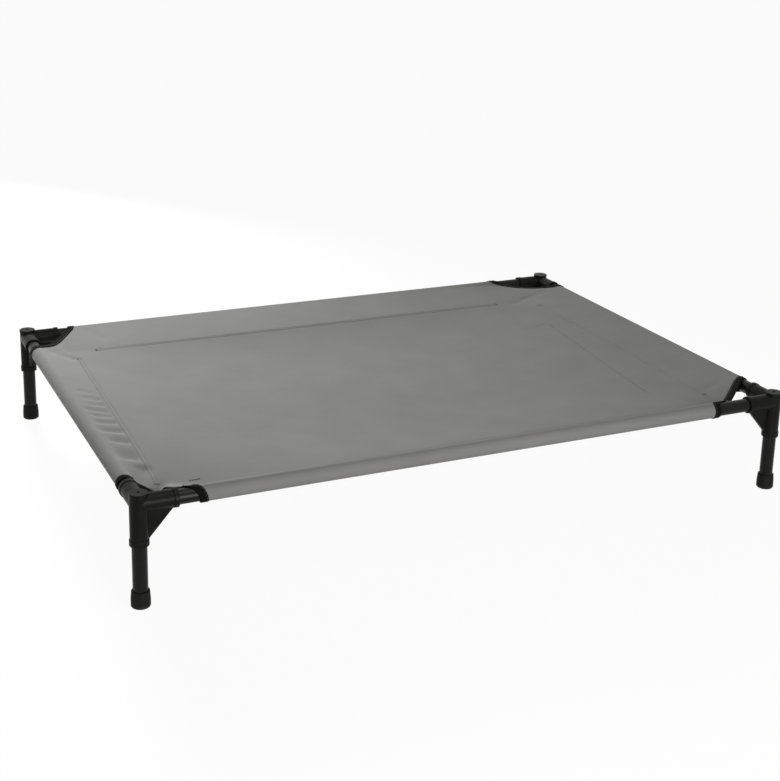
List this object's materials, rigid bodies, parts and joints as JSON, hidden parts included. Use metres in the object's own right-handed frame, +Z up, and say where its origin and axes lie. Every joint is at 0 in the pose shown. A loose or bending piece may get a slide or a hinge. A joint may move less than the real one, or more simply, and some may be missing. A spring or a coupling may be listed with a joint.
{
  "type": "raised dog cot",
  "caption": "Raised dog cot: a rectangular fabric deck with sewn sleeves stretched over a low frame of round tubes, with moulded corner connectors, short legs and rubber feet.",
  "frame": {"origin": "on the floor, under the middle of the cot", "axes": "+X along the cot, -Y to the front, +Z up"},
  "size_m": [1.0672, 0.762, 0.165],
  "materials": {
    "connector_plastic": "black moulded plastic, fine satin texture",
    "tube_coating": "black powder coat, satin",
    "foot_rubber": "black moulded rubber, matt",
    "cover_fabric": "grey coated plain-weave polyester",
    "binding_tape": "black woven binding tape"
  },
  "bodies": {
    "root": {"connector_front_left": "connector_plastic", "connector_front_right": "connector_plastic", "connector_back_left": "connector_plastic", "connector_back_right": "connector_plastic", "leg_tube_front_left": "tube_coating", "leg_tube_front_right": "tube_coating", "leg_tube_back_left": "tube_coating", "leg_tube_back_right": "tube_coating", "foot_front_left": "foot_rubber", "foot_front_right": "foot_rubber", "foot_back_left": "foot_rubber", "foot_back_right": "foot_rubber", "rail_front": "tube_coating", "rail_back": "tube_coating", "rail_left": "tube_coating", "rail_right": "tube_coating", "deck_panel": "cover_fabric", "sleeve_front": "cover_fabric", "sleeve_back": "cover_fabric", "sleeve_left": "cover_fabric", "sleeve_right": "cover_fabric", "binding_front_left": "binding_tape", "binding_front_right": "binding_tape", "binding_back_left": "binding_tape", "binding_back_right": "binding_tape"}
  },
  "joints": []
}
